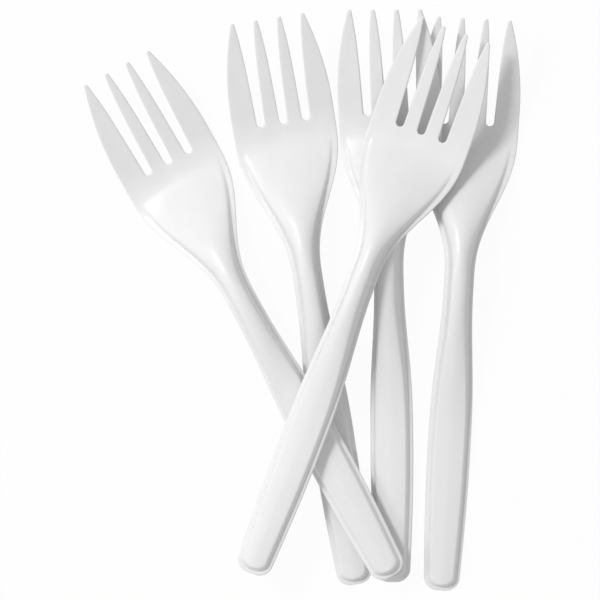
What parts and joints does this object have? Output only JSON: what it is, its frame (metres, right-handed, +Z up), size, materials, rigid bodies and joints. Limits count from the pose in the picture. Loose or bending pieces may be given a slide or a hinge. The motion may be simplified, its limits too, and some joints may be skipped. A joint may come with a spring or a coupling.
{
  "type": "disposable plastic cutlery pack",
  "caption": "Loose heap of identical white disposable plastic forks with slim hollow-backed handles and upturned tines.",
  "frame": {"origin": "under the middle of the heap's bounding box, on the surface that it lies on", "axes": "+X across the heap, to the right seen from above with the tines pointing away; +Y from the handle ends towards the tines; +Z up"},
  "size_m": [0.1134, 0.1522, 0.0208],
  "materials": {
    "white_plastic": "glossy moulded white plastic, opaque"
  },
  "bodies": {
    "root": {"fork_right": "white_plastic", "fork_inner_left": "white_plastic", "fork_middle": "white_plastic", "fork_far_left": "white_plastic", "fork_top": "white_plastic"}
  },
  "joints": []
}
